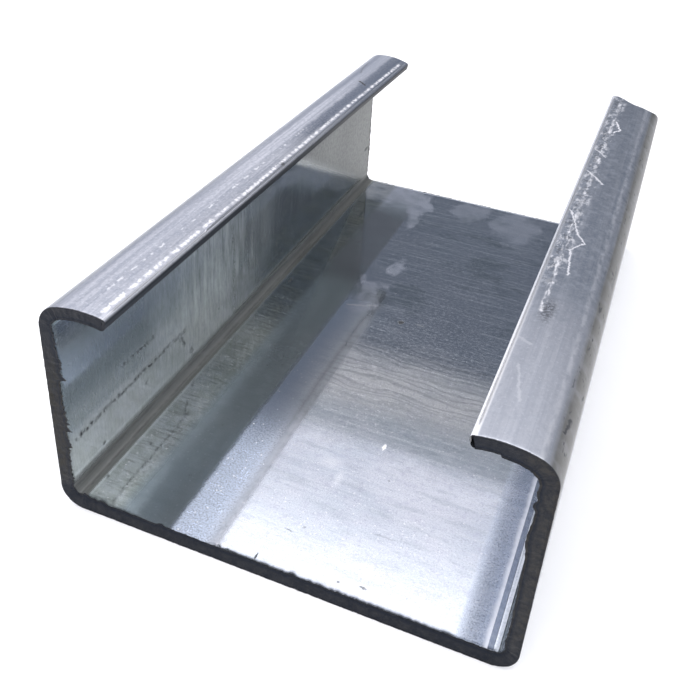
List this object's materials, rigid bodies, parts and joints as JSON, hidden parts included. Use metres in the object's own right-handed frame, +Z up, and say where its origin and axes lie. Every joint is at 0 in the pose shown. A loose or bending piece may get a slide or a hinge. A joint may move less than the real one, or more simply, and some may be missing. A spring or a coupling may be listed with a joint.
{
  "type": "c-purlin",
  "caption": "Short cut length of cold-formed galvanised steel lipped C-purlin: a flat web, upright flanges and inturned rounded lips, lying on its web with the mouth up.",
  "frame": {"origin": "bottom centre of the bounding box: the middle of the web's back face, on the floor the piece lies on", "axes": "+X across the web, +Y along the length from the near cut end to the far one, +Z up out of the mouth"},
  "size_m": [0.1, 0.175, 0.053],
  "materials": {
    "galvanised_steel": "hot-dip galvanised, satin, bluish grey, with dark cut ends"
  },
  "bodies": {
    "root": {"c_purlin": "galvanised_steel"}
  },
  "joints": []
}
